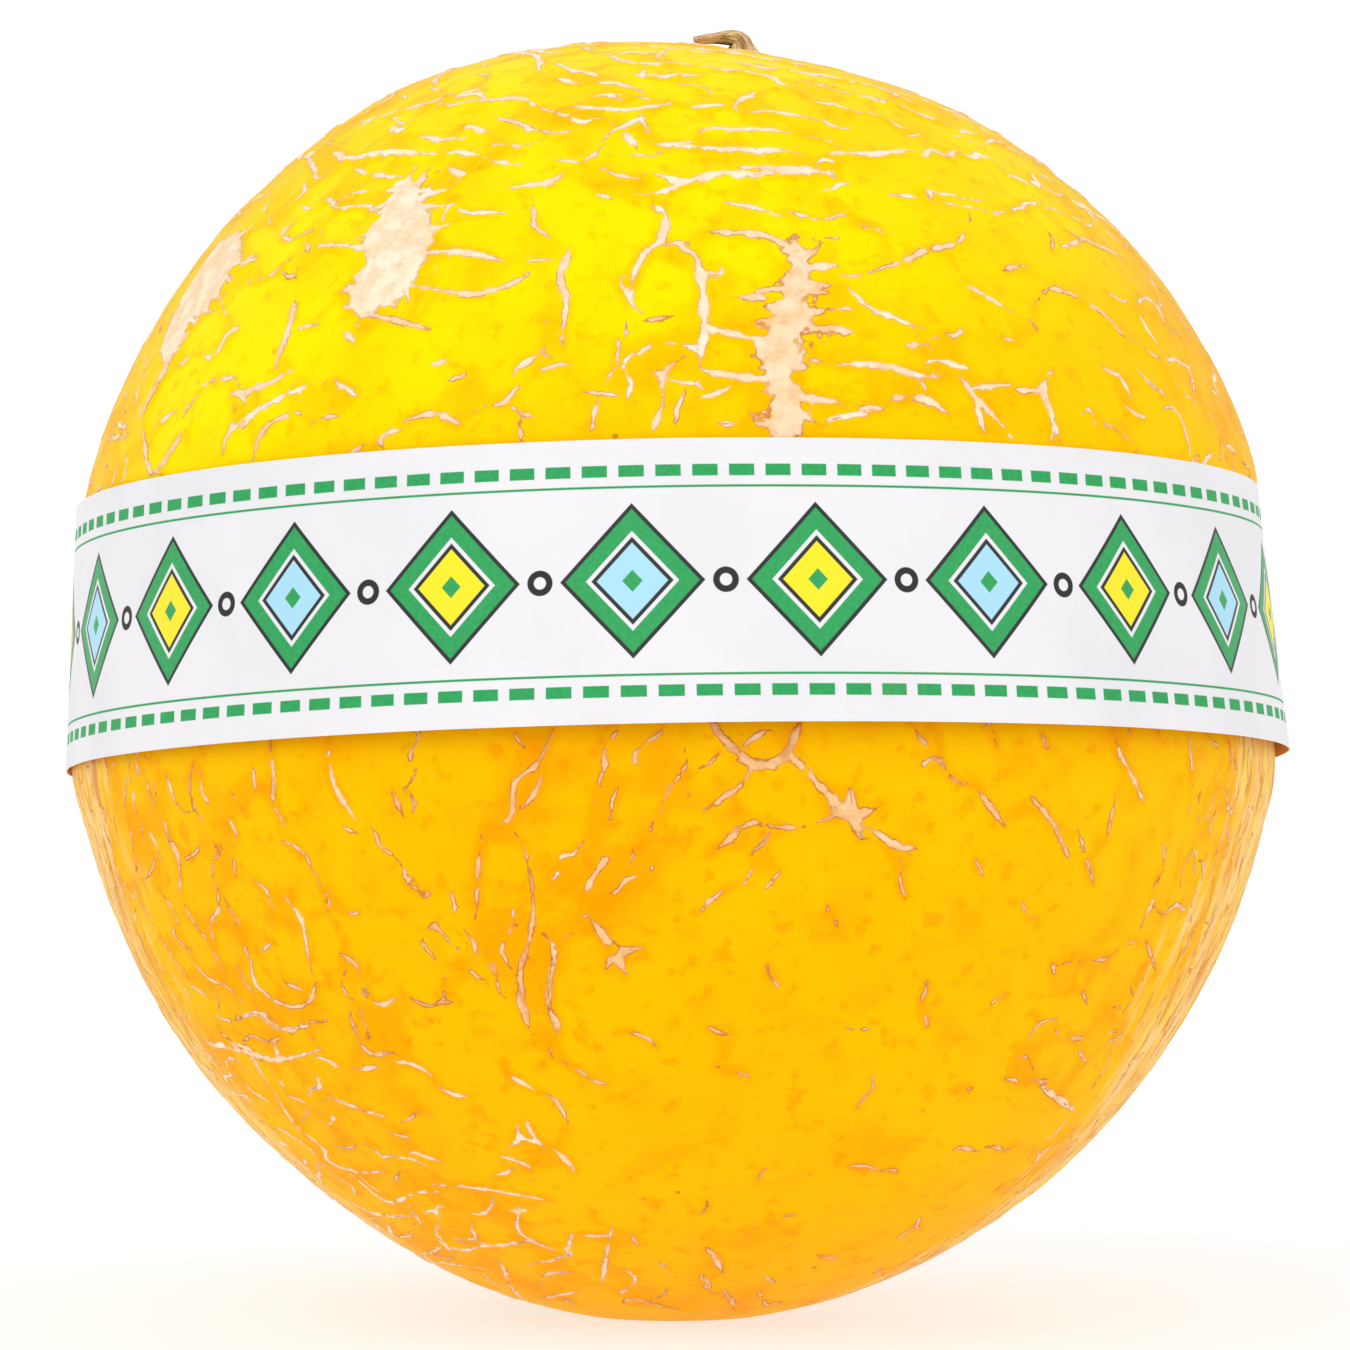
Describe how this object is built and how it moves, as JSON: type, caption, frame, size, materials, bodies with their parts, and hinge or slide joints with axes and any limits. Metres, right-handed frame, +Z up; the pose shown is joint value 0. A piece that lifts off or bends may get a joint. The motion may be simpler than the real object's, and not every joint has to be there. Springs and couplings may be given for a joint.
{
  "type": "galia melon with a paper band",
  "caption": "Whole ripe galia melon: a round yellow netted fruit with a dried stalk stub on top and a white paper band with a plain printed pattern round its waist.",
  "frame": {"origin": "middle of the small flat spot at the blossom end that the fruit rests on", "axes": "+Z up from the resting spot to the stalk, -Y towards the viewer of the fruit's front, +X to the viewer's right"},
  "size_m": [0.1421, 0.1427, 0.1477],
  "materials": {
    "ripe rind": "satin",
    "dried stalk": "matte",
    "white paper": "matte"
  },
  "bodies": {
    "root": {"fruit": "ripe rind", "stem": "dried stalk", "band": "white paper"}
  },
  "joints": []
}
